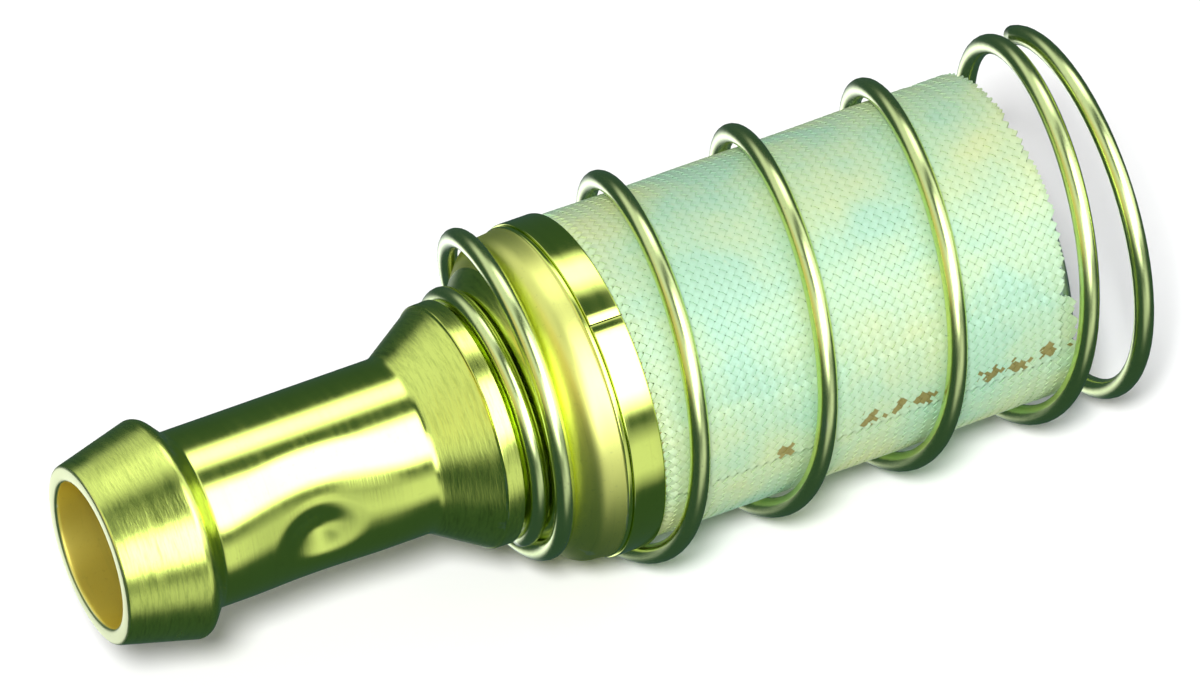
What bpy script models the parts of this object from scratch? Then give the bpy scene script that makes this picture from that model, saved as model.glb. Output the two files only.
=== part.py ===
"""Hose-tail suction strainer with a ball foot valve and a loose-coiled steel spring.

The part lies along +X: the barbed mouth is at the origin, the closed end of the mesh
sleeve and the free end of the spring point to +X, and +Z is up. Metres throughout.
"""

import math

import bmesh
import bpy
from mathutils import Vector

MM = 0.001

# Driving dimensions, in millimetres.
HOSE_BORE = 8.0                 # the rubber hose that the tail is made for
NECK_R = HOSE_BORE / 2 + 0.03
NECK_BORE_R = 3.34
NECK_END_X = 15.05
MOUTH_R = 4.13
MOUTH_CHAMFER = 0.15
BARB_R = 5.03
BARB_CREST_R = 0.35             # rounding of the barb's crest
BARB_CREST_X = 3.60
BARB_BACK_X = 4.65

CONE_END_X = 17.5
CONE_END_R = 5.50
STEP_R = 5.62
STEP_END_X = 18.3
GROOVE_R = 4.97                 # the spring's first turn snaps into this groove
GROOVE_END_X = 19.5
SHOULDER_X = 19.6               # the slope up to the collar starts here
SHOULDER_R = 5.60
SHOULDER_TOP_X = 21.1
SHOULDER_TOP_DROP = 0.25        # rounding between the slope and the collar
COLLAR_X = 21.3
COLLAR_R = 7.45
COLLAR_LIP_R = 7.62
COLLAR_LIP_WIDTH = 0.28
COLLAR_END_X = 22.55

SPIGOT_R = 6.95
SPIGOT_BORE_R = 6.20
SPIGOT_END_X = 25.3
SPIGOT_CHAMFER = 0.15
FLARE_END_X = 21.0              # where the seat hole has opened out to the spigot's bore

DIMPLE_X = 9.5                  # two opposite dents pressed into the neck
DIMPLE_LIFT = math.radians(5.0)  # how far the front dent sits above the -Y side
DIMPLE_HALF_LENGTH = 2.1
DIMPLE_HALF_WIDTH = 1.9
DIMPLE_DEPTH = 0.85
DIMPLE_RINGS = 10

BALL_R = 2.75
BALL_SEAT_START_X = 14.2        # a 45 degree cone in the bore
SEAT_HOLE_R = 1.74
SEAT_HOLE_END_X = 18.5
BALL_SEAT_CLEARANCE = 0.04

MESH_WALL = 0.30
SLEEVE_R = 7.56
SLEEVE_NECK_R = 7.30            # squeezed by the clamp ring onto the spigot
SLEEVE_FLARE = 0.6              # length past the ring in which the sleeve reaches full size
SLEEVE_END_X = 44.55

RING_R = 7.70
RING_BORE_R = 7.36
RING_END_X = 24.1
RING_EDGE = 0.08

CAP_R = 7.20
CAP_WALL = 0.30
CAP_DEPTH = 1.9
CAP_BEND = 0.25

FIT_GAP = 0.05                  # between neighbouring pieces

WIRE_R = 0.45
SPRING_PHASE = math.radians(46.6)   # where the wire crosses at a whole turn, from +Y towards +Z
# Turn number, distance along the axis, radius of the wire's middle. Left-hand wound.
SPRING_STATIONS = (
    (-1.5, 19.00, 5.54),
    (-1.0, 19.00, 5.54),
    (-0.75, 19.18, 5.90),
    (-0.5, 19.72, 6.42),
    (-0.25, 19.87, 6.60),
    (0.0, 20.50, 7.72),
    (0.25, 22.60, 8.22),
    (0.5, 24.66, 8.20),
    (0.75, 26.05, 8.13),
    (1.0, 27.47, 8.12),
    (1.5, 30.74, 8.12),
    (2.0, 34.06, 8.12),
    (2.5, 37.10, 8.12),
    (3.0, 40.55, 8.12),
    (3.5, 43.60, 8.12),
    (4.0, 46.80, 8.12),
    (4.5, 47.20, 8.12),
    (5.0, 48.05, 8.12),
)
SEAT_TURNS_END = 0.10
FREE_TURN_START = 4.00
POINTS_PER_TURN = 20
TURN_GAP = 0.004                # share of a turn left between two lengths of the wire

ROUND_STEPS = 48
SHARP_ANGLE = math.radians(30)
MERGE_DISTANCE = 0.000001       # metres

COLOURS = {
    "brass": ((0.80, 0.78, 0.34), 0.22, 1.0),
    "ring_brass": ((0.74, 0.72, 0.28), 0.20, 1.0),
    "mesh_steel": ((0.66, 0.76, 0.66), 0.45, 0.9),
    "cap_steel": ((0.60, 0.66, 0.60), 0.35, 1.0),
    "spring_steel": ((0.62, 0.70, 0.66), 0.20, 1.0),
    "ball_steel": ((0.72, 0.74, 0.74), 0.10, 1.0),
}


def clear_scene():
    for item in list(bpy.data.objects):
        bpy.data.objects.remove(item, do_unlink=True)


def make_collection(name):
    collection = bpy.data.collections.new(name)
    bpy.context.scene.collection.children.link(collection)
    return collection


def make_material(name, kind):
    colour, roughness, metallic = COLOURS[kind]
    material = bpy.data.materials.new(name)
    material.use_nodes = True
    shader = material.node_tree.nodes["Principled BSDF"]
    shader.inputs["Base Color"].default_value = (*colour, 1.0)
    shader.inputs["Roughness"].default_value = roughness
    shader.inputs["Metallic"].default_value = metallic
    material.diffuse_color = (*colour, 1.0)
    return material


def shade_round(mesh):
    mesh.shade_smooth()
    mesh.set_sharp_from_angle(angle=SHARP_ANGLE)


def turned(name, profile, kind, collection, closed=True):
    """A solid turned about X, from a profile of (x, radius) in millimetres.

    It runs down the outer side from the highest x to the lowest, then back up the bore.
    A profile that starts and ends on the axis isn't closed into a loop.
    """
    mesh = bpy.data.meshes.new(name)
    points = [(radius * MM, 0.0, x * MM) for x, radius in profile]
    edges = [(i, i + 1) for i in range(len(points) - 1)]
    if closed:
        edges.append((len(points) - 1, 0))
    mesh.from_pydata(points, edges, [])
    item = bpy.data.objects.new(name, mesh)
    item.rotation_euler = (0.0, math.pi / 2, 0.0)
    collection.objects.link(item)
    screw = item.modifiers.new("turn", "SCREW")
    screw.axis = "Z"
    screw.angle = 2 * math.pi
    screw.steps = ROUND_STEPS
    screw.render_steps = ROUND_STEPS
    screw.use_merge_vertices = True
    screw.merge_threshold = MERGE_DISTANCE
    screw.use_smooth_shade = True
    mesh.materials.append(make_material(name, kind))
    return item


def freeze(item):
    """Replaces an object's modifiers with the mesh that they make."""
    bpy.context.view_layer.update()
    depsgraph = bpy.context.evaluated_depsgraph_get()
    mesh = bpy.data.meshes.new_from_object(item.evaluated_get(depsgraph))
    item.modifiers.clear()
    item.data = mesh
    return mesh


def arc(centre_x, centre_r, radius, start, end, count):
    """Points along an arc in the (x, radius) plane, angles in degrees from +x."""
    points = []
    for i in range(count + 1):
        angle = math.radians(start + (end - start) * i / count)
        points.append((centre_x + radius * math.cos(angle), centre_r + radius * math.sin(angle)))
    return points


def stations(start, end, count):
    return [start + (end - start) * i / count for i in range(count + 1)]


def dimple_rings(radius, upwards):
    """Rings close enough together along the neck to carry the dents."""
    first = DIMPLE_X - DIMPLE_HALF_LENGTH
    last = DIMPLE_X + DIMPLE_HALF_LENGTH
    places = stations(first, last, DIMPLE_RINGS)
    if not upwards:
        places.reverse()
    return [(x, radius) for x in places]


def body_profile():
    slope_top_r = COLLAR_R - SHOULDER_TOP_DROP
    lip_face_r = COLLAR_LIP_R - 0.10
    outer = [
        (SPIGOT_END_X, SPIGOT_R - SPIGOT_CHAMFER),
        (SPIGOT_END_X - SPIGOT_CHAMFER, SPIGOT_R),
        (COLLAR_END_X, SPIGOT_R),
        (COLLAR_END_X, lip_face_r),
        (COLLAR_END_X - 0.10, COLLAR_LIP_R),
        (COLLAR_END_X - COLLAR_LIP_WIDTH, COLLAR_LIP_R - 0.02),
        (COLLAR_X, COLLAR_R),
        (SHOULDER_TOP_X + 0.08, slope_top_r + 0.15),
        (SHOULDER_TOP_X, slope_top_r),
        (SHOULDER_X, SHOULDER_R),
        (GROOVE_END_X, GROOVE_R),
        (STEP_END_X + 0.12, GROOVE_R),
        (STEP_END_X, STEP_R),
        (CONE_END_X, STEP_R),
        (CONE_END_X - 0.05, CONE_END_R),
        (NECK_END_X + 0.20, NECK_R + 0.07),
        (NECK_END_X, NECK_R),
    ]
    outer += dimple_rings(NECK_R, upwards=False)
    outer += [(BARB_BACK_X, NECK_R), (BARB_BACK_X - 0.22, NECK_R + 0.09)]
    outer += arc(BARB_CREST_X, BARB_R - BARB_CREST_R, BARB_CREST_R, 35, 95, 4)
    outer += [(MOUTH_CHAMFER, MOUTH_R), (0.0, MOUTH_R - MOUTH_CHAMFER)]

    seat_end_x = BALL_SEAT_START_X + (NECK_BORE_R - SEAT_HOLE_R)
    inner = [(0.0, NECK_BORE_R + MOUTH_CHAMFER), (MOUTH_CHAMFER, NECK_BORE_R)]
    inner += dimple_rings(NECK_BORE_R, upwards=True)
    inner += [
        (BALL_SEAT_START_X, NECK_BORE_R),
        (seat_end_x, SEAT_HOLE_R),
        (SEAT_HOLE_END_X, SEAT_HOLE_R),
        (FLARE_END_X, SPIGOT_BORE_R),
        (SPIGOT_END_X, SPIGOT_BORE_R),
    ]
    return outer + inner


def press_dimples(item):
    """Pushes the neck's wall inwards at two opposite places, bore and outside together."""
    mesh = freeze(item)
    turn = item.rotation_euler.to_matrix()
    back_turn = turn.transposed()
    directions = [math.pi - DIMPLE_LIFT, -DIMPLE_LIFT]
    for vertex in mesh.vertices:
        place = turn @ vertex.co
        radius = math.hypot(place.y, place.z)
        along = (place.x / MM - DIMPLE_X) / DIMPLE_HALF_LENGTH
        if abs(along) >= 1.0 or radius > NECK_R * MM * 1.01:
            continue
        angle = math.atan2(place.z, place.y)
        for direction in directions:
            away = math.remainder(angle - direction, 2 * math.pi)
            across = away * NECK_R / DIMPLE_HALF_WIDTH
            reach = math.hypot(along, across)
            if reach < 1.0:
                depth = DIMPLE_DEPTH * MM * 0.5 * (1.0 + math.cos(math.pi * reach))
                scale = (radius - depth) / radius
                vertex.co = back_turn @ Vector((place.x, place.y * scale, place.z * scale))
    shade_round(mesh)


def build_body(collection):
    item = turned("hose_tail_body", body_profile(), "brass", collection)
    press_dimples(item)


def build_sleeve(collection):
    start_x = COLLAR_END_X + FIT_GAP
    flare_start_x = RING_END_X - 0.1
    flare_end_x = RING_END_X + SLEEVE_FLARE
    profile = [
        (SLEEVE_END_X, SLEEVE_R),
        (flare_end_x, SLEEVE_R),
        (flare_start_x, SLEEVE_NECK_R),
        (start_x, SLEEVE_NECK_R),
        (start_x, SLEEVE_NECK_R - MESH_WALL),
        (flare_start_x, SLEEVE_NECK_R - MESH_WALL),
        (flare_end_x, SLEEVE_R - MESH_WALL),
        (SLEEVE_END_X, SLEEVE_R - MESH_WALL),
    ]
    turned("strainer_sleeve", profile, "mesh_steel", collection)


def build_clamp_ring(collection):
    start_x = COLLAR_END_X + FIT_GAP
    profile = [
        (RING_END_X, RING_R - RING_EDGE),
        (RING_END_X - RING_EDGE, RING_R),
        (start_x + RING_EDGE, RING_R),
        (start_x, RING_R - RING_EDGE),
        (start_x, RING_BORE_R),
        (RING_END_X - 0.1, RING_BORE_R),
        (RING_END_X, RING_BORE_R + 0.12),
    ]
    turned("sleeve_clamp_ring", profile, "ring_brass", collection)


def build_end_cap(collection):
    """A shallow cup inside the sleeve's end, its rim towards the hose tail."""
    face_x = SLEEVE_END_X - FIT_GAP
    profile = [
        (face_x, 0.0),
        (face_x, CAP_R - CAP_BEND),
        (face_x - CAP_BEND * 0.3, CAP_R - CAP_BEND * 0.3),
        (face_x - CAP_BEND, CAP_R),
        (face_x - CAP_DEPTH, CAP_R),
        (face_x - CAP_DEPTH, CAP_R - CAP_WALL),
        (face_x - CAP_WALL, CAP_R - CAP_WALL),
        (face_x - CAP_WALL, 0.0),
    ]
    item = turned("strainer_end_cap", profile, "cap_steel", collection, closed=False)
    shade_round(freeze(item))


def build_ball(collection):
    mesh = bpy.data.meshes.new("check_ball")
    shape = bmesh.new()
    bmesh.ops.create_uvsphere(shape, u_segments=24, v_segments=16, radius=BALL_R * MM)
    shape.to_mesh(mesh)
    shape.free()
    mesh.shade_smooth()
    mesh.materials.append(make_material("check_ball", "ball_steel"))
    item = bpy.data.objects.new("check_ball", mesh)
    # A ball on a 45 degree seat touches it where both normals meet.
    touch_r = BALL_R * math.sin(math.pi / 4)
    touch_x = BALL_SEAT_START_X + (NECK_BORE_R - touch_r)
    centre_x = touch_x - BALL_R * math.cos(math.pi / 4) - BALL_SEAT_CLEARANCE
    item.location = (centre_x * MM, 0.0, 0.0)
    item.rotation_euler = (0.0, math.pi / 2, 0.0)
    collection.objects.link(item)


def spring_station(turn):
    """Distance along the axis and wire radius at a turn number, on a smooth curve."""
    rows = SPRING_STATIONS
    index = 0
    while index < len(rows) - 2 and turn > rows[index + 1][0]:
        index += 1
    start, end = rows[index], rows[index + 1]
    span = end[0] - start[0]
    share = (turn - start[0]) / span
    before = rows[max(index - 1, 0)]
    after = rows[min(index + 2, len(rows) - 1)]
    result = []
    for column in (1, 2):
        slope_start = (end[column] - before[column]) / (end[0] - before[0]) * span
        slope_end = (after[column] - start[column]) / (after[0] - start[0]) * span
        cube, square = share ** 3, share ** 2
        value = (2 * cube - 3 * square + 1) * start[column]
        value += (cube - 2 * square + share) * slope_start
        value += (-2 * cube + 3 * square) * end[column]
        value += (cube - square) * slope_end
        result.append(value)
    return result


def spring_point(turn):
    x, radius = spring_station(turn)
    angle = SPRING_PHASE - 2 * math.pi * turn
    return Vector((x, radius * math.cos(angle), radius * math.sin(angle))) * MM


def build_spring_length(name, first_turn, last_turn, collection):
    curve = bpy.data.curves.new(name, "CURVE")
    curve.dimensions = "3D"
    curve.bevel_depth = WIRE_R * MM
    curve.bevel_resolution = 2
    curve.use_fill_caps = True
    spline = curve.splines.new("POLY")
    count = max(round((last_turn - first_turn) * POINTS_PER_TURN), 4)
    turns = stations(first_turn, last_turn, count)
    spline.points.add(len(turns) - 1)
    for point, turn in zip(spline.points, turns):
        point.co = (*spring_point(turn), 1.0)
    curve.materials.append(make_material(name, "spring_steel"))
    item = bpy.data.objects.new(name, curve)
    collection.objects.link(item)


def build_spring(collection):
    first = SPRING_STATIONS[0][0]
    last = SPRING_STATIONS[-1][0]
    half_gap = TURN_GAP / 2
    build_spring_length("spring_seat_turns", first, SEAT_TURNS_END - half_gap, collection)
    build_spring_length(
        "spring_working_turns", SEAT_TURNS_END + half_gap, FREE_TURN_START - half_gap, collection
    )
    build_spring_length("spring_free_turn", FREE_TURN_START + half_gap, last, collection)


def main():
    clear_scene()
    parts = make_collection("suction_strainer")
    build_body(parts)
    build_sleeve(parts)
    build_clamp_ring(parts)
    build_end_cap(parts)
    build_ball(parts)
    build_spring(parts)


main()
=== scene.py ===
import math

import bpy
import numpy as np
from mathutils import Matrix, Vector


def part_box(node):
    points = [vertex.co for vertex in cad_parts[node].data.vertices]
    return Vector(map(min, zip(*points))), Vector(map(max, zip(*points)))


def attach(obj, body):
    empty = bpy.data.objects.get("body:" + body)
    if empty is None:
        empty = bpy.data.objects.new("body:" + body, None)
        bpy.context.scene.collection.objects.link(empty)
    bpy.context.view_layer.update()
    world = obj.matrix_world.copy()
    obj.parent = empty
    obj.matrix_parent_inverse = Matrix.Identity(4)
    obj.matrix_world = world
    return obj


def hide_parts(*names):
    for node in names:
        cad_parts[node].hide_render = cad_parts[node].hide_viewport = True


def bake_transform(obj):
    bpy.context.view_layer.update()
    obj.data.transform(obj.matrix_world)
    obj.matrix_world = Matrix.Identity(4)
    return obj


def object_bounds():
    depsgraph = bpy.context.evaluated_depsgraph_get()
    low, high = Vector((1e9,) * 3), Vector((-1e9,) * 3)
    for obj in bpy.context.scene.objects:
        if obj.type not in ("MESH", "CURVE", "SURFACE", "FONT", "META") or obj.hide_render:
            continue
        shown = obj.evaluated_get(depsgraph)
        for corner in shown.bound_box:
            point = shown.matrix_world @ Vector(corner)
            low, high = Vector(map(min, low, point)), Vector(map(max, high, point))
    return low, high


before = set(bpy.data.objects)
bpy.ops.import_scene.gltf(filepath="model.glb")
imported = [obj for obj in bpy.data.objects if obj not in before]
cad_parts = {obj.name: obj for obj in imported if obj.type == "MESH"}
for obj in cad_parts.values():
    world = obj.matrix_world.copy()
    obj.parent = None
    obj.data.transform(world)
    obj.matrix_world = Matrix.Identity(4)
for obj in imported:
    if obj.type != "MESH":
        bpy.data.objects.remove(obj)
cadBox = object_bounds()
mm = 0.001
print("frame loaded:", sorted(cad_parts))

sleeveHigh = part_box("strainer_sleeve")[1]
ringLow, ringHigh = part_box("sleeve_clamp_ring")
capLow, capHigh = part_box("strainer_end_cap")
ballLow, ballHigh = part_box("check_ball")


def meshFromGrid(name, points, closeAlong=False):
    # points is rows x columns x 3, in metres; each row is a ring, joined to the next by quads
    mesh = bpy.data.meshes.new(name)
    fillMesh(mesh, points.reshape(-1, 3), quadGrid(*points.shape[:2], True, closeAlong))
    return mesh


def quadGrid(rows, columns, closeAcross, closeAlong):
    r = np.arange(rows if closeAlong else rows - 1)
    c = np.arange(columns if closeAcross else columns - 1)
    r, c = np.meshgrid(r, c, indexing="ij")
    nextRow = (r + 1) % rows
    nextColumn = (c + 1) % columns
    corners = (
        r * columns + c, r * columns + nextColumn,
        nextRow * columns + nextColumn, nextRow * columns + c,
    )
    return np.stack([k.ravel() for k in corners], axis=1)


def fillMesh(mesh, vertices, quads):
    vertices = np.asarray(vertices, np.float32)
    quads = np.asarray(quads, np.int32)
    mesh.vertices.add(len(vertices))
    mesh.vertices.foreach_set("co", vertices.ravel())
    mesh.loops.add(quads.size)
    mesh.loops.foreach_set("vertex_index", quads.ravel())
    mesh.polygons.add(len(quads))
    mesh.polygons.foreach_set("loop_start", np.arange(0, quads.size, 4, dtype=np.int32))
    mesh.update(calc_edges=True)
    mesh.validate()


def placeObject(name, mesh, sharp=35):
    item = bpy.data.objects.new(name, mesh)
    bpy.context.scene.collection.objects.link(item)
    mesh.shade_smooth()
    if sharp:
        mesh.set_sharp_from_angle(angle=math.radians(sharp))
    return item


def smoothStep(value):
    value = np.clip(value, 0.0, 1.0)
    return value * value * (3.0 - 2.0 * value)


def roundedOutline(corners, segments=5):
    # corners are (x, radius, fillet) in mm; each fillet becomes an arc
    out = []
    count = len(corners)
    for i, (x, r, fillet) in enumerate(corners):
        here = Vector((x, r))
        before = Vector(corners[i - 1][:2])
        after = Vector(corners[(i + 1) % count][:2])
        if fillet <= 0:
            out.append((x, r))
            continue
        back, ahead = (before - here), (after - here)
        reach = min(fillet, back.length * 0.49, ahead.length * 0.49)
        a, b = here + back.normalized() * reach, here + ahead.normalized() * reach
        for k in range(segments + 1):
            t = k / segments
            p = a * (1 - t) ** 2 + here * 2 * t * (1 - t) + b * t * t
            out.append((p.x, p.y))
    return out


def splitLong(outline, longest, low=-1e9, high=1e9):
    # adds points where a run is longer than wanted, only between two x places
    out = []
    for i, (x, r) in enumerate(outline):
        nx, nr = outline[(i + 1) % len(outline)]
        out.append((x, r))
        if low <= (x + nx) / 2 <= high:
            pieces = max(1, math.ceil(math.hypot(nx - x, nr - r) / longest))
            for k in range(1, pieces):
                out.append((x + (nx - x) * k / pieces, r + (nr - r) * k / pieces))
    return out


def turnAroundX(name, outline, steps, closeAlong=True):
    # the outline runs down the outside and back up the bore
    outline = np.array(outline) * mm
    angles = np.linspace(0, 2 * math.pi, steps, endpoint=False)
    x = np.repeat(outline[:, :1], steps, axis=1)
    r = outline[:, 1:]
    points = np.stack([x, r * np.cos(angles), r * np.sin(angles)], axis=2)
    return meshFromGrid(name, points, closeAlong=closeAlong)


def readPoints(mesh):
    co = np.zeros(len(mesh.vertices) * 3, np.float32)
    mesh.vertices.foreach_get("co", co)
    return co.reshape(-1, 3).astype(float)


def writePoints(mesh, co):
    mesh.vertices.foreach_set("co", co.astype(np.float32).ravel())
    mesh.update()


def faceCorners(mesh):
    corners = np.zeros(len(mesh.polygons) * 4, np.int32)
    mesh.polygons.foreach_get("vertices", corners)
    return corners.reshape(-1, 4)


def directionsAlong(path):
    # at each point: forward along the path, sideways in the surface, and up out of it
    forward = np.gradient(path, axis=0)
    forward /= np.linalg.norm(forward, axis=1)[:, None]
    outward = path * np.array([0, 1, 1])
    outward /= np.linalg.norm(outward, axis=1)[:, None]
    side = np.cross(forward, outward)
    side /= np.linalg.norm(side, axis=1)[:, None]
    return forward, side, np.cross(side, forward)


def newGroup(name, inputs, outputs):
    group = bpy.data.node_groups.new(name, "ShaderNodeTree")
    for socketName, kind, default in inputs:
        socket = group.interface.new_socket(name=socketName, in_out="INPUT", socket_type=kind)
        socket.default_value = default
    for socketName, kind in outputs:
        group.interface.new_socket(name=socketName, in_out="OUTPUT", socket_type=kind)
    start = group.nodes.new("NodeGroupInput")
    end = group.nodes.new("NodeGroupOutput")
    return group, start, end


def addNode(tree, kind, **settings):
    node = tree.nodes.new(kind)
    for key, value in settings.items():
        if key in node.inputs.keys():
            node.inputs[key].default_value = value
        else:
            setattr(node, key, value)
    return node


def mathNode(tree, operation, first, second=None, clamp=False):
    node = tree.nodes.new("ShaderNodeMath")
    node.operation = operation
    node.use_clamp = clamp
    for index, value in enumerate((first, second)):
        if value is None:
            continue
        if isinstance(value, (int, float)):
            node.inputs[index].default_value = value
        else:
            tree.links.new(value, node.inputs[index])
    return node.outputs[0]


def turningMarksGroup():
    # fine rings left by the lathe: bands that change quickly along X and slowly around it
    group, start, end = newGroup(
        "turningMarks",
        [("Rings Per Metre", "NodeSocketFloat", 9000.0), ("Waver", "NodeSocketFloat", 160.0)],
        [("Height", "NodeSocketFloat"), ("Streak", "NodeSocketFloat")],
    )
    place = addNode(group, "ShaderNodeTexCoord")
    stretch = addNode(group, "ShaderNodeCombineXYZ")
    group.links.new(start.outputs["Rings Per Metre"], stretch.inputs[0])
    group.links.new(start.outputs["Waver"], stretch.inputs[1])
    group.links.new(start.outputs["Waver"], stretch.inputs[2])
    scaled = addNode(group, "ShaderNodeVectorMath", operation="MULTIPLY")
    group.links.new(place.outputs["Object"], scaled.inputs[0])
    group.links.new(stretch.outputs[0], scaled.inputs[1])
    fine = addNode(group, "ShaderNodeTexNoise", Scale=1.0, Detail=3.0, Roughness=0.7)
    group.links.new(scaled.outputs[0], fine.inputs["Vector"])
    wide = addNode(group, "ShaderNodeTexNoise", Scale=0.22, Detail=2.0, Roughness=0.5)
    group.links.new(scaled.outputs[0], wide.inputs["Vector"])
    group.links.new(fine.outputs["Fac"], end.inputs["Height"])
    group.links.new(wide.outputs["Fac"], end.inputs["Streak"])
    return group


def tarnishGroup():
    # uneven handling film: a soft mask and a finer one
    finer, speckStart, speckGain = 14.0, 0.62, 6.0
    group, start, end = newGroup(
        "handlingFilm",
        [("Size Per Metre", "NodeSocketFloat", 260.0)],
        [("Cloud", "NodeSocketFloat"), ("Speck", "NodeSocketFloat")],
    )
    place = addNode(group, "ShaderNodeTexCoord")
    cloud = addNode(group, "ShaderNodeTexNoise", Detail=4.0, Roughness=0.55)
    group.links.new(place.outputs["Object"], cloud.inputs["Vector"])
    group.links.new(start.outputs[0], cloud.inputs["Scale"])
    speck = addNode(group, "ShaderNodeTexNoise", Detail=2.0, Roughness=0.6)
    group.links.new(place.outputs["Object"], speck.inputs["Vector"])
    group.links.new(mathNode(group, "MULTIPLY", start.outputs[0], finer), speck.inputs["Scale"])
    group.links.new(cloud.outputs["Fac"], end.inputs["Cloud"])
    above = mathNode(group, "SUBTRACT", speck.outputs["Fac"], speckStart)
    speckMask = mathNode(group, "MULTIPLY", above, speckGain, clamp=True)
    group.links.new(speckMask, end.inputs["Speck"])
    return group


def edgeWearGroup():
    # bright rubbed corners, from the surface's own sharpness
    group, start, end = newGroup(
        "rubbedEdges",
        [("Start", "NodeSocketFloat", 0.52), ("Gain", "NodeSocketFloat", 14.0)],
        [("Mask", "NodeSocketFloat")],
    )
    shape = addNode(group, "ShaderNodeNewGeometry")
    above = mathNode(group, "SUBTRACT", shape.outputs["Pointiness"], start.outputs["Start"])
    mask = mathNode(group, "MULTIPLY", above, start.outputs["Gain"], clamp=True)
    group.links.new(mask, end.inputs["Mask"])
    return group


turningMarks = turningMarksGroup()
handlingFilm = tarnishGroup()
rubbedEdges = edgeWearGroup()
print("shader groups ready")


def startMaterial(name):
    material = bpy.data.materials.new(name)
    material.use_nodes = True
    tree = material.node_tree
    return material, tree, tree.nodes["Principled BSDF"]


def useGroup(tree, group, **values):
    node = tree.nodes.new("ShaderNodeGroup")
    node.node_tree = group
    for key, value in values.items():
        node.inputs[key.replace("_", " ")].default_value = value
    return node


def mixColour(tree, factor, first, second):
    node = addNode(tree, "ShaderNodeMix", data_type="RGBA")
    for socket, value in ((node.inputs[0], factor), (node.inputs[6], first), (node.inputs[7], second)):
        if isinstance(value, tuple):
            socket.default_value = (*value, 1.0)
        elif isinstance(value, (int, float)):
            socket.default_value = value
        else:
            tree.links.new(value, socket)
    return node.outputs[2]


def mapValue(tree, value, low, high):
    node = addNode(tree, "ShaderNodeMapRange")
    node.inputs["To Min"].default_value = low
    node.inputs["To Max"].default_value = high
    tree.links.new(value, node.inputs["Value"])
    return node.outputs[0]


def turnedMetal(name, finish):
    # a lathe-turned metal: ring marks, a thin film, rubbed edges
    material, tree, shader = startMaterial(name)
    marks = useGroup(tree, turningMarks, Rings_Per_Metre=finish["rings"], Waver=finish["waver"])
    film = useGroup(tree, handlingFilm, Size_Per_Metre=finish["film size"])
    edges = useGroup(tree, rubbedEdges, Start=finish["edge start"], Gain=finish["edge gain"])
    cloud = mapValue(tree, film.outputs["Cloud"], 0.0, 1.0)
    base = mixColour(tree, cloud, finish["colour"], finish["film colour"])
    speck = mathNode(tree, "MULTIPLY", film.outputs["Speck"], finish["speck share"])
    base = mixColour(tree, speck, base, finish["speck colour"])
    rubbed = mathNode(tree, "MULTIPLY", edges.outputs["Mask"], finish["edge share"])
    base = mixColour(tree, rubbed, base, finish["edge colour"])
    # dull tool streaks, broken up by the film so they don't run all the way round
    streak = mathNode(tree, "SUBTRACT", marks.outputs["Height"], finish["streak start"])
    streak = mathNode(tree, "MULTIPLY", streak, finish["streak gain"], clamp=True)
    streak = mathNode(tree, "MULTIPLY", streak, film.outputs["Cloud"])
    base = mixColour(tree, streak, base, finish["streak colour"])
    tree.links.new(base, shader.inputs["Base Color"])
    rough = mapValue(tree, marks.outputs["Streak"], finish["roughness"][0], finish["roughness"][1])
    tree.links.new(rough, shader.inputs["Roughness"])
    bump = addNode(tree, "ShaderNodeBump", Strength=finish["bump"], Distance=finish["bump depth"] * mm)
    tree.links.new(marks.outputs["Height"], bump.inputs["Height"])
    tree.links.new(bump.outputs["Normal"], shader.inputs["Normal"])
    shader.inputs["Metallic"].default_value = finish["metallic"]
    return material


brassFinish = {
    "metallic": 1.0, "streak start": 0.55, "streak gain": 1.2, "streak colour": (0.30, 0.36, 0.06),
    "colour": (0.80, 0.93, 0.17), "film colour": (0.75, 0.86, 0.13), "speck colour": (0.42, 0.48, 0.08),
    "edge colour": (0.97, 1.0, 0.55), "rings": 11000.0, "waver": 140.0, "film size": 330.0,
    "edge start": 0.53, "edge gain": 16.0, "roughness": (0.09, 0.22), "bump": 0.35, "bump depth": 0.010,
    "speck share": 0.25, "edge share": 0.6,
}
ringFinish = dict(brassFinish, rings=7000.0, roughness=(0.08, 0.18), bump=0.22)
# the bore: the roughness is the dull drilled surface; the warmer colour and lower metallic share are
# painted bounce light, standing in for light reflected around inside the bore
boreFinishWithBounceLight = dict(
    brassFinish, colour=(0.88, 0.78, 0.14), rings=3000.0, roughness=(0.30, 0.50), metallic=0.80,
    **{"film colour": (0.78, 0.62, 0.08), "speck colour": (0.55, 0.42, 0.06)},
)
# the mouth rim: a paler colour, partly rubbed wear and partly a painted highlight where the rounded rim
# catches the light
rimWearAndHighlightFinish = dict(
    brassFinish, colour=(0.92, 0.97, 0.42), rings=9000.0, roughness=(0.30, 0.45),
    **{"film colour": (0.86, 0.92, 0.30)},
)
cutFinish = dict(
    brassFinish, rings=8000.0, waver=900.0, roughness=(0.12, 0.34), bump=0.55,
    **{"bump depth": 0.016, "streak start": 0.46, "streak gain": 3.4, "streak colour": (0.24, 0.34, 0.05)},
)
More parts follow.
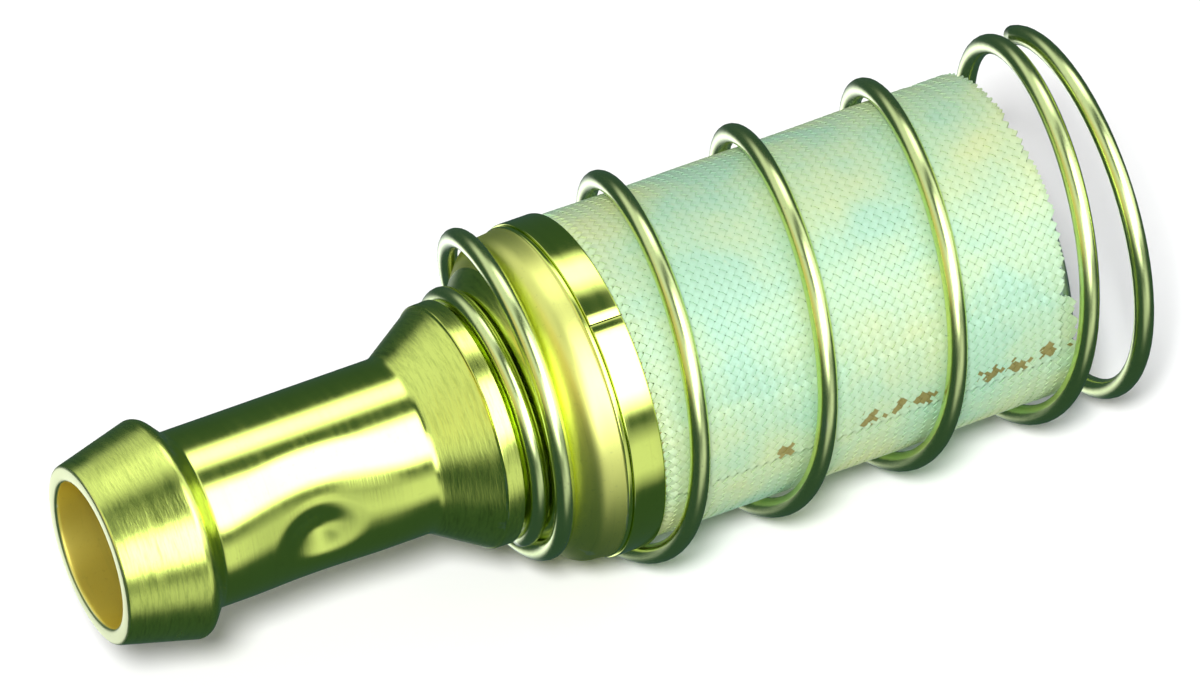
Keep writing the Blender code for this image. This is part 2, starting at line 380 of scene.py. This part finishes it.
# the collar band: the higher roughness is its satin surface; the lighter colour is painted light that lifts
# the shade the spring's coil throws onto the band
satinFinishWithPaintedLight = dict(
    brassFinish, colour=(0.92, 0.95, 0.22), rings=9000.0, roughness=(0.34, 0.50),
    **{"film colour": (0.86, 0.88, 0.17)},
)
capFinish = dict(
    brassFinish, colour=(0.62, 0.74, 0.66), rings=5000.0, roughness=(0.25, 0.45),
    **{
        "film colour": (0.52, 0.62, 0.54), "speck colour": (0.30, 0.32, 0.22),
        "edge colour": (0.85, 0.95, 0.88),
    },
)
ballFinish = dict(
    capFinish, colour=(0.80, 0.86, 0.84), rings=900.0, roughness=(0.05, 0.10), bump=0.03,
)
brassMaterial = turnedMetal("turnedBrass", brassFinish)
ringMaterial = turnedMetal("rolledBrass", ringFinish)
boreMaterialWithBounceLight = turnedMetal("drilledBrassWithBounceLight", boreFinishWithBounceLight)
rimWearAndHighlightMaterial = turnedMetal("rubbedBrassWithHighlight", rimWearAndHighlightFinish)
cutMaterial = turnedMetal("cutBrass", cutFinish)
satinMaterialWithPaintedLight = turnedMetal("satinBrassWithPaintedLight", satinFinishWithPaintedLight)
capMaterial = turnedMetal("pressedSteel", capFinish)
ballMaterial = turnedMetal("ballSteel", ballFinish)
print("turned metals ready")


hoseTail = {
    "steps": 192, "neck radius": 4.03, "bore": 3.34, "near": 1.01,
    "dent place": 9.5, "dent half length": 2.3, "dent half width": 2.1, "dent depth": 0.50,
    "dent sag": 0.42, "sag reach": 4.8, "back sag reach": 2.8, "dent lift": 5.0, "bore share": 0.72,
    "fine reach": 2.1, "fine run": 0.16, "longest run": 0.6,
    # where the finishes change along the axis
    "rim end": 0.06, "barb end": 4.60, "cone start": 15.12, "collar start": 20.30, "collar end": 22.30,
    "bore end": 18.0, "bore edge": 0.03,
    # distance along the axis, radius and rounding: along the outside to the mouth, then back in the bore
    "outline": (
        (25.30, 6.95, 0.15), (22.55, 6.95, 0.0), (22.55, 7.60, 0.06), (22.34, 7.62, 0.05),
        (22.26, 7.54, 0.05), (21.20, 7.45, 0.40), (19.60, 5.62, 0.10), (19.50, 4.98, 0.12),
        (18.42, 4.98, 0.12), (18.30, 5.62, 0.05), (17.52, 5.60, 0.05), (17.46, 5.50, 0.04),
        (15.05, 4.03, 0.22), (4.66, 4.03, 0.14), (3.90, 4.93, 0.14), (3.62, 5.03, 0.20),
        (0.0, 4.08, 0.14), (0.0, 3.34, 0.20), (14.2, 3.34, 0.1), (15.8, 1.74, 0.1),
        (18.5, 1.74, 0.2), (21.0, 6.20, 0.2), (25.30, 6.20, 0.12),
    ),
}


def hoseTailOutline():
    # shorter runs around the dents, so they press in smoothly
    place, reach = hoseTail["dent place"], hoseTail["dent half length"] * hoseTail["fine reach"]
    outline = roundedOutline(hoseTail["outline"])
    outline = splitLong(outline, hoseTail["fine run"], place - reach, place + reach)
    return splitLong(outline, hoseTail["longest run"])


def pressDents(mesh):
    co = readPoints(mesh)
    radius = np.hypot(co[:, 1], co[:, 2])
    angle = np.arctan2(co[:, 2], co[:, 1])
    along = (co[:, 0] / mm - hoseTail["dent place"]) / hoseTail["dent half length"]
    lift = math.radians(hoseTail["dent lift"])
    onNeck = radius < hoseTail["neck radius"] * mm * hoseTail["near"]
    dents = ((math.pi - lift, hoseTail["sag reach"]), (-lift, hoseTail["back sag reach"]))
    for direction, sagReach in dents:
        away = np.angle(np.exp(1j * (angle - direction)))
        across = away * hoseTail["neck radius"] / hoseTail["dent half width"]
        reach = np.hypot(along, across)
        # the punch's own mark, and the wider sag of the tube around it
        punch = 0.5 * (1 + np.cos(math.pi * np.clip(reach, 0, 1))) * hoseTail["dent depth"]
        wide = np.hypot(along * hoseTail["dent half length"], across * hoseTail["dent half width"])
        sag = 0.5 * (1 + np.cos(math.pi * np.clip(wide / sagReach, 0, 1))) * hoseTail["dent sag"]
        # the bore is pressed in less than the outside, which leaves the ball its way
        inBore = radius < hoseTail["bore"] * mm * hoseTail["near"]
        depth = (punch + sag) * mm * onNeck * np.where(inBore, hoseTail["bore share"], 1.0)
        scale = (radius - depth) / np.maximum(radius, 1e-9)
        co[:, 1] *= scale
        co[:, 2] *= scale
    writePoints(mesh, co)


def shareFinishes(mesh):
    # slot 0 polished neck, 1 drilled bore with painted bounce light, 2 rubbed mouth rim with a painted
    # highlight,
    # 3 lathe-turned barb, cone and shoulder, 4 satin collar lightened by painted light against the coil's
    # shade
    co = readPoints(mesh) / mm
    corners = faceCorners(mesh)
    x = co[:, 0][corners].mean(axis=1)
    radius = np.hypot(co[:, 1], co[:, 2])[corners].mean(axis=1)
    slots = np.zeros(len(corners), np.int32)
    onCone = (x > hoseTail["cone start"]) & (x < hoseTail["collar start"])
    slots[(x < hoseTail["barb end"]) | onCone] = 3
    slots[(x > hoseTail["collar start"]) & (x < hoseTail["collar end"])] = 4
    slots[(radius < hoseTail["bore"] + hoseTail["bore edge"]) & (x < hoseTail["bore end"])] = 1
    slots[x < hoseTail["rim end"]] = 2
    mesh.polygons.foreach_set("material_index", slots)


def buildHoseTail():
    mesh = turnAroundX("hoseTail", hoseTailOutline(), hoseTail["steps"])
    for material in (brassMaterial, boreMaterialWithBounceLight, rimWearAndHighlightMaterial, cutMaterial, satinMaterialWithPaintedLight):
        mesh.materials.append(material)
    shareFinishes(mesh)
    pressDents(mesh)
    item = placeObject("hoseTail", mesh)
    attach(item, "strainer_body")
    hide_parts("hose_tail_body")


buildHoseTail()
print("hose tail built")


clampRing = {
    "seam direction": (-0.438, 0.899), "seam gap": 0.07, "steps": 200, "outer": 7.70, "bore": 7.36,
    "overlap": 0.04, "bore taper": 0.05, "roundings": (0.09, 0.05, 0.04, 0.06), "end round": 0.06,
    "longest run": 0.4,
}


def buildClampRing():
    low, high = ringLow.x / mm - clampRing["overlap"], ringHigh.x / mm
    outer, bore, roundings = clampRing["outer"], clampRing["bore"], clampRing["roundings"]
    outline = roundedOutline([
        (high, outer, roundings[0]), (low, outer, roundings[1]),
        (low, bore, roundings[2]), (high, bore + clampRing["bore taper"], roundings[3]),
    ])
    outline = np.array(splitLong(outline, clampRing["longest run"])) * mm
    seam = math.atan2(clampRing["seam direction"][1], clampRing["seam direction"][0])
    halfGap = clampRing["seam gap"] / outer / 2
    angles = seam + np.linspace(halfGap, 2 * math.pi - halfGap, clampRing["steps"])
    # the two ends of the strip are rounded over a little
    fromEnd = np.minimum(angles - angles[0], angles[-1] - angles) * outer
    pinch = clampRing["end round"] * mm * np.exp(-fromEnd / clampRing["end round"])
    x = np.repeat(outline[:, :1], len(angles), axis=1)
    middle = outline[:, 1].mean()
    r = outline[:, 1:] + (middle - outline[:, 1:]) / (outline[:, 1].max() - middle) * pinch
    points = np.stack([x, r * np.cos(angles), r * np.sin(angles)], axis=2)
    mesh = bpy.data.meshes.new("clampRing")
    rows, columns = points.shape[:2]
    quads = quadGrid(rows, columns, False, True)
    # close both ends of the strip with quads across the section
    caps = []
    for column, flip in ((0, False), (columns - 1, True)):
        for k in range(rows // 2 - 1):
            quad = [row * columns + column for row in (k, k + 1, rows - 2 - k, rows - 1 - k)]
            caps.append(quad if flip else quad[::-1])
    fillMesh(mesh, points.reshape(-1, 3), np.vstack([quads, np.array(caps)]))
    mesh.materials.append(ringMaterial)
    item = placeObject("clampRing", mesh)
    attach(item, "strainer_body")
    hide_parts("sleeve_clamp_ring")


buildClampRing()
print("clamp ring built")


endCap = {
    "outer": 7.20, "inner": 6.90, "thickness": 0.30, "corner": 0.32, "inner corner": 0.12,
    "rim round": 0.05, "pole gap": 0.004, "longest run": 0.8, "steps": 144,
}


def buildEndCap():
    face, rim = capHigh.x / mm, capLow.x / mm
    inside, gap, rimRound = face - endCap["thickness"], endCap["pole gap"], endCap["rim round"]
    outline = roundedOutline([
        (face, gap, 0.0), (face, endCap["outer"], endCap["corner"]),
        (rim, endCap["outer"], rimRound), (rim, endCap["inner"], rimRound),
        (inside, endCap["inner"], endCap["inner corner"]), (inside, gap, 0.0),
    ])
    mesh = turnAroundX("endCap", splitLong(outline, endCap["longest run"]), endCap["steps"])
    mesh.materials.append(capMaterial)
    item = placeObject("endCap", mesh)
    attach(item, "strainer_body")
    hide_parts("strainer_end_cap")


checkBall = {"rings": 64, "steps": 128, "pole gap": 0.02}


def buildBall():
    centre = (ballLow + ballHigh) / 2
    radius = (ballHigh.x - ballLow.x) / 2
    rings = checkBall["rings"]
    outline = []
    for k in range(rings + 1):
        # from the free end's pole to the mouth's, never quite on the axis
        turn = math.pi * (k + checkBall["pole gap"] * (rings / 2 - k) / rings * 2) / rings
        outline.append(((centre.x + radius * math.cos(turn)) / mm, radius * math.sin(turn) / mm))
    mesh = turnAroundX("checkBallPolished", outline, checkBall["steps"], closeAlong=False)
    mesh.materials.append(ballMaterial)
    item = placeObject("checkBallPolished", mesh, sharp=0)
    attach(item, "ball")
    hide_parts("check_ball")


buildEndCap()
buildBall()
print("end cap and ball built")


cloth = {
    "pitch": 0.333, "wire": 0.285, "flatness": 0.32, "lap": 3.0, "lap edge": (-0.996, -0.087),
    "start": 23.75, "middle radius": 7.395, "clamped radius": 7.14,
    "lap step": 0.10, "lap tuck": 0.12, "weave height": 0.042,
    "sides": 4, "ragged": (0.03, 0.10), "cut back": 0.95, "cut reach": 7.1, "seed": 7,
    # the runs over which the cloth widens past the ring, leaves the lap's underside and climbs over it
    "widen start": 0.1, "widen run": 0.8, "under run": 0.9, "over run": 0.7,
    "cap line depth": 0.035, "cap line place": 0.2, "cap line width": 0.22,
    # hand-rolled unevenness: height, then how fast it changes across and along the sheet
    "waves": ((0.018, 0.93, 0.21), (0.012, -0.37, 0.8)),
    # the resistance welds along the lap: distance along the axis, distance in from the free edge, size
    "welds": (
        (30.0, 0.30, 0.46), (34.1, 0.48, 0.50), (35.6, 0.66, 0.42), (36.9, 0.48, 0.48),
        (40.1, 0.55, 0.48), (41.5, 0.42, 0.50), (42.9, 0.66, 0.46),
    ),
}


scorch = {
    "jitter": (-0.30, 0.20), "line heat": 0.42, "line place": 0.35, "line width": 0.30, "line start": 33.0,
    "stretch": 1.25, "falloff": 0.9, "limit": 0.56, "ring line": 0.09, "seed": 11,
}
weld = {
    "rings": 7, "spokes": 20, "first share": 0.04, "length": 0.85, "width": 0.62,
    "height": 0.085, "sink": 0.055, "underside": -0.11, "seed": 23,
    # lobes around a nugget: how far they swell, and how many there are
    "lobes": ((0.18, 2), (0.12, 5)),
}
lapAngle = math.atan2(cloth["lap edge"][1], cloth["lap edge"][0])
sheetWidth = 2 * math.pi * cloth["middle radius"] + cloth["lap"]


def clothRadius(x, across):
    # the cloth's middle surface: squeezed under the ring, full size past it, stepped at the lap
    squeeze = 1 - smoothStep((x - (ringHigh.x / mm - cloth["widen start"])) / cloth["widen run"])
    radius = cloth["middle radius"] - squeeze * (cloth["middle radius"] - cloth["clamped radius"])
    under = 1 - smoothStep((across - cloth["lap"]) / cloth["under run"])
    over = smoothStep((across - (sheetWidth - cloth["lap"] - cloth["over run"])) / cloth["over run"])
    radius = radius - under * cloth["lap tuck"] + over * cloth["lap step"]
    # a shallow pressed line where the cap's rim stands inside
    fromLine = (x - capLow.x / mm - cloth["cap line place"]) / cloth["cap line width"]
    radius = radius - cloth["cap line depth"] * np.exp(-fromLine ** 2)
    for height, acrossRate, alongRate in cloth["waves"]:
        radius = radius + height * np.sin(across * acrossRate + x * alongRate)
    return radius


def wireTubes(name, paths, wire, flatness, sides):
    # one mesh of many four-sided wires; the ends are closed by a quad
    vertices, quads, base = [], [], 0
    spin = np.arange(sides) / sides * 2 * math.pi + math.pi / 4
    for path in paths:
        _, side, up = directionsAlong(path)
        ring = side[:, None] * np.cos(spin)[:, None] + up[:, None] * np.sin(spin)[:, None] * flatness
        points = path[:, None] + ring * wire / math.sqrt(2)
        rows = len(path)
        vertices.append(points.reshape(-1, 3))
        quads.append(quadGrid(rows, sides, True, False) + base)
        last = base + (rows - 1) * sides
        quads.append(np.array([[base + 3, base + 2, base + 1, base], [last, last + 1, last + 2, last + 3]]))
        base += rows * sides
    mesh = bpy.data.meshes.new(name)
    fillMesh(mesh, np.vstack(vertices), np.vstack(quads))
    return mesh


def clothPaths(slope):
    # wires at 45 degrees to the sleeve's axis, in the flat cloth's own measures, then rolled up
    width, start, stop = sheetWidth, cloth["start"], sleeveHigh.x / mm
    step = cloth["pitch"] * math.sqrt(2)
    seed = np.random.default_rng(cloth["seed"] + int(slope))
    paths = []
    count = int((width + stop - start) / step) + 2
    for i in range(-count, count + 1):
        origin = i * step
        # the wire runs across = origin + slope * (x - start)
        first, last = sorted(((0 - origin) / slope, (width - origin) / slope))
        low, high = max(0.0, first), min(stop - start, last)
        if high - low < step:
            continue
        places = np.arange(math.ceil(low / (step / 4)), math.floor(high / (step / 4)) + 1) * step / 4
        x = start + places
        across = origin + slope * places
        # the sheet's far end is cut slightly askew near its free edge
        askew = cloth["cut back"] * (1 - smoothStep((width - across) / cloth["cut reach"]))
        kept = x <= stop - seed.uniform(*cloth["ragged"]) - askew
        if kept.sum() < 4:
            continue
        places, x, across = places[kept], x[kept], across[kept]
        weave = np.cos(2 * math.pi * places / step) * cloth["weave height"] * (1 if slope > 0 else -1)
        radius = clothRadius(x, across) + weave
        # the free edge lies at the lap direction and the cloth runs down from it, under, behind and over
        angle = lapAngle - (width - across) / cloth["middle radius"]
        paths.append(np.stack([x, radius * np.cos(angle), radius * np.sin(angle)], axis=1) * mm)
    return paths


def scorchWires(mesh, slope):
    # faces near a weld take the scorched material, and so does a thin line of faces just past the ring's
    # edge
    middle = (readPoints(mesh) / mm)[faceCorners(mesh)].mean(axis=1)
    turn = np.arctan2(middle[:, 2], middle[:, 1])
    inward = np.angle(np.exp(1j * (lapAngle - turn))) * cloth["middle radius"]
    seed = np.random.default_rng(scorch["seed"] + int(slope))
    jitter = seed.uniform(*scorch["jitter"], len(middle))
    # the weld line is faintly browned all along, more so at each weld
    heat = scorch["line heat"] * np.exp(-((inward - scorch["line place"]) / scorch["line width"]) ** 2)
    heat = heat * (middle[:, 0] > scorch["line start"])
    for x, fromEdge, size in cloth["welds"]:
        away = np.hypot((middle[:, 0] - x) / scorch["stretch"], inward - fromEdge) / size
        heat = np.maximum(heat, np.exp(-away ** 2 * scorch["falloff"]))
    slots = (heat + jitter > scorch["limit"]).astype(np.int32)
    # a thin darker brown line on the cloth just past the ring's edge
    slots[middle[:, 0] < ringHigh.x / mm + scorch["ring line"]] = 1
    mesh.polygons.foreach_set("material_index", slots)


clothFinish = {
    "film size": 190.0, "marks": 2600.0, "cloud start": 0.38, "cloud gain": 3.2, "streak share": 0.25,
    "speck share": 0.2, "speck colour": (0.62, 0.60, 0.30), "roughness": (0.50, 0.70), "metallic": 0.20,
}
wovenColours = ((0.42, 0.66, 0.46), (0.62, 0.70, 0.36), (0.30, 0.46, 0.28))
scorchedColours = ((0.24, 0.22, 0.06), (0.34, 0.29, 0.09), (0.16, 0.14, 0.04))


def clothMaterial(name, first, second, shade):
    material, tree, shader = startMaterial(name)
    film = useGroup(tree, handlingFilm, Size_Per_Metre=clothFinish["film size"])
    marks = useGroup(
        tree, turningMarks, Rings_Per_Metre=clothFinish["marks"], Waver=clothFinish["marks"],
    )
    cloud = mathNode(tree, "SUBTRACT", film.outputs["Cloud"], clothFinish["cloud start"])
    cloud = mathNode(tree, "MULTIPLY", cloud, clothFinish["cloud gain"], clamp=True)
    base = mixColour(tree, cloud, first, second)
    streak = mathNode(tree, "MULTIPLY", marks.outputs["Streak"], clothFinish["streak share"])
    base = mixColour(tree, streak, base, shade)
    speck = mathNode(tree, "MULTIPLY", film.outputs["Speck"], clothFinish["speck share"])
    base = mixColour(tree, speck, base, clothFinish["speck colour"])
    tree.links.new(base, shader.inputs["Base Color"])
    rough = mapValue(tree, marks.outputs["Height"], *clothFinish["roughness"])
    tree.links.new(rough, shader.inputs["Roughness"])
    shader.inputs["Metallic"].default_value = clothFinish["metallic"]
    return material


wovenMaterial = clothMaterial("wovenWire", *wovenColours)
scorchedMaterial = clothMaterial("scorchedWire", *scorchedColours)


def buildCloth():
    for name, slope in (("clothRightWires", 1.0), ("clothLeftWires", -1.0)):
        mesh = wireTubes(
            name, clothPaths(slope), cloth["wire"] * mm, cloth["flatness"], cloth["sides"],
        )
        mesh.materials.append(wovenMaterial)
        mesh.materials.append(scorchedMaterial)
        scorchWires(mesh, slope)
        item = placeObject(name, mesh, sharp=50)
        print(name, len(mesh.polygons), "faces")
        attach(item, "strainer_body")
        if slope > 0:
            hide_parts("strainer_sleeve")


def buildWelds():
    # low, uneven nuggets that the welds left between the wires
    seed = np.random.default_rng(weld["seed"])
    spokes = weld["spokes"]
    vertices, quads, base = [], [], 0
    spin = np.linspace(0, 2 * math.pi, spokes, endpoint=False)
    for x, fromEdge, size in cloth["welds"]:
        lobes = 1
        for swell, count in weld["lobes"]:
            lobes = lobes + swell * np.sin(count * spin + seed.uniform(0, 6))
        share = np.linspace(weld["first share"], 1.0, weld["rings"])[:, None]
        along = x + size * weld["length"] * share * lobes * np.cos(spin)
        inward = fromEdge + size * weld["width"] * share * lobes * np.sin(spin)
        dome = weld["height"] * np.sqrt(np.clip(1 - share ** 2, 0, 1)) * np.ones(spokes)
        shell = []
        for lift in (dome - weld["sink"], weld["underside"]):
            radius = clothRadius(along, sheetWidth - inward) + lift
            angle = lapAngle - inward / cloth["middle radius"]
            shell.append(np.stack([along, radius * np.cos(angle), radius * np.sin(angle)], axis=2))
        # top from its middle outwards, then the underside back in, closed at both middles
        rows = np.concatenate([shell[0], shell[1][::-1]])
        vertices.append(rows.reshape(-1, 3) * mm)
        quads.append(quadGrid(len(rows), spokes, True, True) + base)
        base += rows.shape[0] * spokes
    mesh = bpy.data.meshes.new("weldNuggets")
    fillMesh(mesh, np.vstack(vertices), np.vstack(quads))
    mesh.materials.append(scorchedMaterial)
    item = placeObject("weldNuggets", mesh, sharp=50)
    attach(item, "strainer_body")


buildCloth()
buildWelds()
print("woven sleeve built")


spring = {
    "wire": 0.90, "phase": 46.6, "rings per turn": 72, "sides": 20,
    # the chamfered ends: how far they stand out, and their rims, as shares of the wire's radius
    "chamfer": 0.16, "chamfer rims": (0.84, 0.45, 0.02),
    # turn number, distance along the axis, radius of the wire's middle
    "stations": (
        (-1.5, 19.00, 5.54), (-1.0, 19.00, 5.54), (-0.75, 19.18, 5.90), (-0.5, 19.72, 6.42),
        (-0.25, 19.87, 6.60), (0.0, 20.50, 7.72), (0.25, 22.60, 8.22), (0.5, 24.66, 8.20),
        (0.75, 26.05, 8.13), (1.0, 27.47, 8.12), (1.5, 30.74, 8.12), (2.0, 34.06, 8.12),
        (2.5, 37.10, 8.12), (3.0, 40.55, 8.12), (3.5, 43.60, 8.12), (4.0, 46.80, 8.12),
        (4.5, 47.20, 8.12), (5.0, 48.05, 8.12),
    ),
}


def springStation(turn):
    rows = spring["stations"]
    index = 0
    while index < len(rows) - 2 and turn > rows[index + 1][0]:
        index += 1
    start, end = rows[index], rows[index + 1]
    span = end[0] - start[0]
    share = (turn - start[0]) / span
    before = rows[max(index - 1, 0)]
    after = rows[min(index + 2, len(rows) - 1)]
    result = []
    for column in (1, 2):
        slopeStart = (end[column] - before[column]) / (end[0] - before[0]) * span
        slopeEnd = (after[column] - start[column]) / (after[0] - start[0]) * span
        cube, square = share ** 3, share ** 2
        value = (2 * cube - 3 * square + 1) * start[column] + (cube - 2 * square + share) * slopeStart
        value += (-2 * cube + 3 * square) * end[column] + (cube - square) * slopeEnd
        result.append(value)
    return result


def springPath():
    first, last = spring["stations"][0][0], spring["stations"][-1][0]
    count = int((last - first) * spring["rings per turn"])
    points = []
    for i in range(count + 1):
        turn = first + (last - first) * i / count
        x, radius = springStation(turn)
        angle = math.radians(spring["phase"]) - 2 * math.pi * turn
        points.append((x, radius * math.cos(angle), radius * math.sin(angle)))
    return np.array(points) * mm


springFinish = {
    "colour": (0.78, 0.90, 0.30), "film colour": (0.62, 0.74, 0.23), "speck colour": (0.34, 0.34, 0.12),
    "edge colour": (0.95, 1.0, 0.80), "film size": 420.0, "rings": 5200.0, "waver": 900.0,
    "edge start": 0.55, "edge gain": 8.0, "speck share": 0.35, "edge share": 0.3,
    "roughness": (0.16, 0.30), "bump": 0.15, "bump depth": 0.006, "metallic": 1.0,
}


def springMaterial(finish):
    material, tree, shader = startMaterial("springWire")
    film = useGroup(tree, handlingFilm, Size_Per_Metre=finish["film size"])
    marks = useGroup(tree, turningMarks, Rings_Per_Metre=finish["rings"], Waver=finish["waver"])
    edges = useGroup(tree, rubbedEdges, Start=finish["edge start"], Gain=finish["edge gain"])
    base = mixColour(tree, film.outputs["Cloud"], finish["colour"], finish["film colour"])
    speck = mathNode(tree, "MULTIPLY", film.outputs["Speck"], finish["speck share"])
    base = mixColour(tree, speck, base, finish["speck colour"])
    rubbed = mathNode(tree, "MULTIPLY", edges.outputs["Mask"], finish["edge share"])
    base = mixColour(tree, rubbed, base, finish["edge colour"])
    tree.links.new(base, shader.inputs["Base Color"])
    rough = mapValue(tree, marks.outputs["Streak"], *finish["roughness"])
    tree.links.new(rough, shader.inputs["Roughness"])
    bump = addNode(tree, "ShaderNodeBump", Strength=finish["bump"], Distance=finish["bump depth"] * mm)
    tree.links.new(marks.outputs["Height"], bump.inputs["Height"])
    tree.links.new(bump.outputs["Normal"], shader.inputs["Normal"])
    shader.inputs["Metallic"].default_value = finish["metallic"]
    return material


def buildSpring():
    path = springPath()
    forward, side, up = directionsAlong(path)
    sides = spring["sides"]
    spin = np.arange(sides) / sides * 2 * math.pi
    ring = side[:, None] * np.cos(spin)[:, None] + up[:, None] * np.sin(spin)[:, None]
    half = spring["wire"] * mm / 2
    points = path[:, None] + ring * half
    # the cut ends: a small chamfer, then a flat face closed to the middle
    rows = [points]
    for end, direction in ((0, -1), (-1, 1)):
        centre = path[end] + direction * forward[end] * half * spring["chamfer"]
        rims = [centre + ring[end] * half * share for share in spring["chamfer rims"]]
        rims = np.array(rims if direction > 0 else rims[::-1])
        rows = rows + [rims] if direction > 0 else [rims] + rows
    mesh = meshFromGrid("spring", np.concatenate(rows))
    mesh.materials.append(springMaterial(springFinish))
    item = placeObject("spring", mesh, sharp=50)
    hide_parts("spring_seat_turns", "spring_working_turns", "spring_free_turn")
    workLow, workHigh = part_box("spring_working_turns")
    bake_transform(item)


buildSpring()
print("spring built")


studio = {
    "floor": cadBox[0].z - 0.02 * mm, "floor size": 4.0, "floor middle": 25 * mm,
    "floor colours": ((0.93, 0.93, 0.93), (0.95, 0.95, 0.95)), "panel headroom": 1.7,
    "azimuth": -26.8, "elevation": 44.31, "distance": 600 * mm, "lens": 411.3,
    "aim": 24.75 * mm, "aim up": 1.25 * mm,
    "room light": 0.36, "key strength": 3.4, "key right": 0.07, "key down": 0.115, "key width": 12.0,
}
# plain soft panels that polished metal sees, on one wall for each place along X: the mouth's side is -1
# a panel runs between two angles in degrees around the X axis, from +Y towards +Z, and has one brightness
roomTint = (0.04, 0.08, 0.08)
coolPanel = (1.0, 1.0, 1.4)
warmPanel = (1.0, 0.75, 0.45)
panelEdge = 15
walls = (
    (-0.95, warmPanel, ((40, 150, 0.8),)),
    (-0.60, coolPanel, ((30, 165, 0.8),)),
    (-0.20, coolPanel, ((20, 75, 0.8), (140, 165, 4), (200, 215, 0.6), (310, 315, 2))),
    (0.30, coolPanel, ((55, 65, 3), (110, 150, 5), (185, 205, 0.8))),
    (0.85, coolPanel, ((80, 165, 1.2),)),
)


def buildFloor():
    middle = (studio["floor middle"], 0, studio["floor"])
    bpy.ops.mesh.primitive_plane_add(size=studio["floor size"], location=middle)
    floor = bpy.context.object
    floor.name = "floor"
    material, tree, shader = startMaterial("whitePaper")
    grain = addNode(tree, "ShaderNodeTexNoise", Scale=60.0, Detail=3.0)
    base = mixColour(tree, grain.outputs["Fac"], *studio["floor colours"])
    tree.links.new(base, shader.inputs["Base Color"])
    shader.inputs["Roughness"].default_value = 0.9
    shader.inputs["Specular IOR Level"].default_value = 0.0
    floor.data.materials.append(material)
    floor.visible_glossy = False


def buildWorld():
    world = bpy.data.worlds.new("studio")
    bpy.context.scene.world = world
    world.use_nodes = True
    tree = world.node_tree
    tree.nodes.clear()
    place = addNode(tree, "ShaderNodeTexCoord")
    split = addNode(tree, "ShaderNodeSeparateXYZ")
    tree.links.new(place.outputs["Generated"], split.inputs[0])
    turn = mathNode(tree, "ARCTAN2", split.outputs["Z"], split.outputs["Y"])
    share = mathNode(tree, "DIVIDE", turn, 2 * math.pi)
    share = mathNode(tree, "FRACT", mathNode(tree, "ADD", share, 1.0))
    # a ramp's colours stay under 1, so they are divided by this and the background is as much stronger
    top = studio["panel headroom"] * max(level for _, _, panels in walls for _, _, level in panels)
    seenByMetal, placeBefore = None, None
    for along, colour, panels in walls:
        ramp = addNode(tree, "ShaderNodeValToRGB")
        tree.links.new(share, ramp.inputs["Fac"])
        elements = ramp.color_ramp.elements
        while len(elements) > 1:
            elements.remove(elements[-1])
        stops = [(0, 0)]
        for first, last, level in panels:
            stops += [(first - panelEdge, 0), (first, level), (last, level), (last + panelEdge, 0)]
        for index, (degrees, level) in enumerate((*stops, (360, 0))):
            element = elements[0] if index == 0 else elements.new(degrees / 360)
            element.position = degrees / 360
            element.color = (*((room + level * tint) / top for room, tint in zip(roomTint, colour)), 1.0)
        if seenByMetal is None:
            seenByMetal = ramp.outputs["Color"]
        else:
            step = addNode(tree, "ShaderNodeMapRange", interpolation_type="SMOOTHSTEP")
            step.inputs["From Min"].default_value = placeBefore
            step.inputs["From Max"].default_value = along
            tree.links.new(split.outputs["X"], step.inputs["Value"])
            seenByMetal = mixColour(tree, step.outputs[0], seenByMetal, ramp.outputs["Color"])
        placeBefore = along
    glossy = addNode(tree, "ShaderNodeBackground", Strength=top)
    tree.links.new(seenByMetal, glossy.inputs["Color"])
    even = addNode(tree, "ShaderNodeBackground", Color=(1, 1, 1, 1), Strength=studio["room light"])
    seen = addNode(tree, "ShaderNodeBackground", Color=(1, 1, 1, 1), Strength=1.0)
    path = addNode(tree, "ShaderNodeLightPath")
    first = addNode(tree, "ShaderNodeMixShader")
    second = addNode(tree, "ShaderNodeMixShader")
    out = addNode(tree, "ShaderNodeOutputWorld")
    tree.links.new(path.outputs["Is Glossy Ray"], first.inputs[0])
    tree.links.new(even.outputs[0], first.inputs[1])
    tree.links.new(glossy.outputs[0], first.inputs[2])
    tree.links.new(path.outputs["Is Camera Ray"], second.inputs[0])
    tree.links.new(first.outputs[0], second.inputs[1])
    tree.links.new(seen.outputs[0], second.inputs[2])
    tree.links.new(second.outputs[0], out.inputs["Surface"])


def viewFrame():
    azimuth, elevation = math.radians(studio["azimuth"]), math.radians(studio["elevation"])
    level = math.cos(elevation)
    back = Vector((math.sin(azimuth) * level, -math.cos(azimuth) * level, math.sin(elevation)))
    return back, (-back).to_track_quat("-Z", "Y")


def buildKeyLight():
    # a large soft source close to the camera, so the shadow shows just below and to the right
    back, turn = viewFrame()
    light = bpy.data.lights.new("key", "SUN")
    light.energy = studio["key strength"]
    light.angle = math.radians(studio["key width"])
    item = bpy.data.objects.new("key", light)
    bpy.context.scene.collection.objects.link(item)
    towards = -back + turn @ Vector((studio["key right"], -studio["key down"], 0))
    item.rotation_mode = "QUATERNION"
    item.rotation_quaternion = towards.to_track_quat("-Z", "Y")
    item.visible_glossy = False


def buildCamera():
    back, turn = viewFrame()
    camera = bpy.data.cameras.new("camera")
    camera.lens = studio["lens"]
    camera.sensor_width = 36.0
    camera.clip_start, camera.clip_end = 0.01, 20.0
    item = bpy.data.objects.new("camera", camera)
    bpy.context.scene.collection.objects.link(item)
    item.rotation_mode = "QUATERNION"
    item.rotation_quaternion = turn
    aim = Vector((studio["aim"], 0, 0)) + turn @ Vector((0, studio["aim up"], 0))
    item.location = aim + back * studio["distance"]
    bpy.context.scene.camera = item


buildFloor()
buildWorld()
buildKeyLight()
buildCamera()
bpy.context.scene.view_settings.view_transform = "Standard"
print("studio ready")
